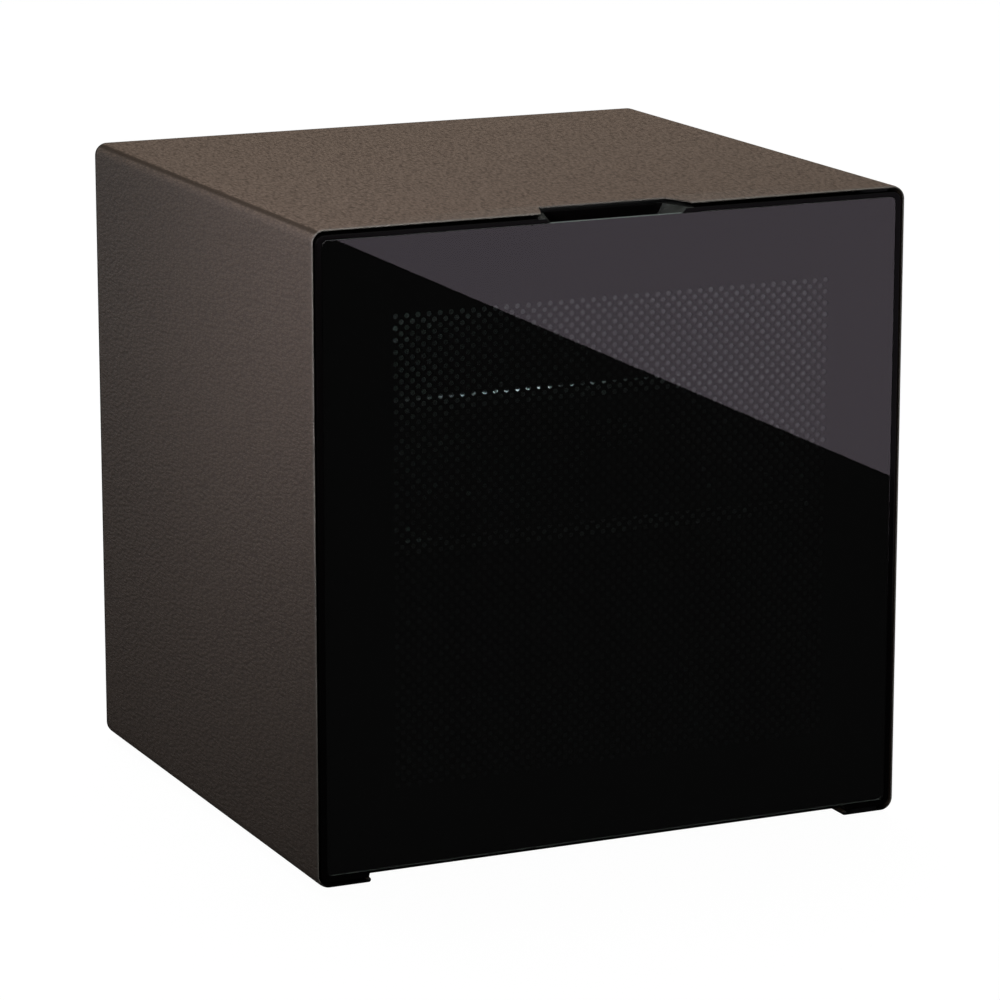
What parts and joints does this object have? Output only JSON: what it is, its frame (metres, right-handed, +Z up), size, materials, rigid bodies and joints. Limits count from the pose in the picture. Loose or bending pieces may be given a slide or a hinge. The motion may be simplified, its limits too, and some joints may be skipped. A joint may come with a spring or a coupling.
{
  "type": "countertop refrigerator",
  "caption": "Cube-shaped countertop refrigerator: textured steel sleeve, inset black glass door with a dotted window, finger grip in the top edge, compressor machine at the rear.",
  "frame": {"origin": "floor level under the middle of the cabinet", "axes": "+Z up, the door faces -Y, +X towards the hinge side (right, seen from the front)"},
  "size_m": [0.55, 0.519, 0.562],
  "materials": {
    "brown_coated_steel": "fine textured powder coat",
    "galvanised_steel": "galvanised",
    "black_steel": "satin black paint",
    "insulating_foam": "rigid polyurethane foam",
    "dark_liner_plastic": "fine matt moulding",
    "black_gloss_plastic": "high gloss moulding",
    "black_rubber": "matt",
    "tinted_glass": "polished",
    "shelf_glass": "polished",
    "printed_layer": "ceramic print",
    "aluminium": "satin",
    "zinc_plated_steel": "zinc plated",
    "pale_plastic": "moulded",
    "copper": "drawn tube",
    "lamp_plastic": "frosted",
    "circuit_board": "lacquered",
    "grey_plastic": "moulded"
  },
  "bodies": {
    "cabinet": {"back_panel": "galvanised_steel", "base_tray": "galvanised_steel", "capillary_tube": "copper", "compressor_grommet_1": "black_rubber", "compressor_grommet_2": "black_rubber", "compressor_grommet_3": "black_rubber", "compressor_grommet_4": "black_rubber", "compressor_mounting_plate": "black_steel", "compressor_shell": "black_steel", "condenser_bracket_left": "galvanised_steel", "condenser_bracket_right": "galvanised_steel", "condenser_coil": "black_steel", "condenser_plate": "black_steel", "control_housing": "dark_liner_plastic", "discharge_line": "copper", "drain_tube": "grey_plastic", "drip_gutter": "grey_plastic", "evaporation_pan": "dark_liner_plastic", "evaporator_plate": "aluminium", "filter_drier": "copper", "foot_front_left": "black_rubber", "foot_front_right": "black_rubber", "foot_rear_left": "black_rubber", "foot_rear_right": "black_rubber", "front_frame": "black_steel", "hinge_bracket_lower": "black_steel", "hinge_bracket_upper": "black_steel", "hinge_pin_lower": "zinc_plated_steel", "hinge_pin_upper": "zinc_plated_steel", "inner_liner": "dark_liner_plastic", "insulation_foam": "insulating_foam", "lamp_lens": "lamp_plastic", "led_strip": "circuit_board", "motor_lead": "black_rubber", "outer_sleeve": "brown_coated_steel", "power_inlet": "dark_liner_plastic", "process_tube": "copper", "relay_cover": "dark_liner_plastic", "sensor_tube": "copper", "shelf_front_trim_lower": "aluminium", "shelf_front_trim_upper": "aluminium", "shelf_glass_lower": "shelf_glass", "shelf_glass_upper": "shelf_glass", "shelf_rear_trim_lower": "aluminium", "shelf_rear_trim_upper": "aluminium", "suction_line": "copper", "thermostat_switch": "grey_plastic"},
    "door": {"door_frame": "black_gloss_plastic", "door_glass_outer": "tinted_glass", "printed_screen": "printed_layer", "glazing_spacer": "aluminium", "door_glass_inner": "tinted_glass", "door_inner_frame": "dark_liner_plastic", "door_gasket": "black_rubber", "hinge_bush_lower": "pale_plastic", "hinge_bush_upper": "pale_plastic"},
    "knob": {"thermostat_knob": "grey_plastic"}
  },
  "joints": [
    {"name": "door_swing", "type": "hinge", "parent": "cabinet", "child": "door", "pos_m": [0.2514, -0.25, 0.28], "axis": [0, 0, 1], "range_deg": [0, 110]},
    {"name": "thermostat_turn", "type": "hinge", "parent": "cabinet", "child": "knob", "pos_m": [0.055, -0.1518, 0.4997], "axis": [0, 1, 0], "range_deg": [0, 270]}
  ]
}
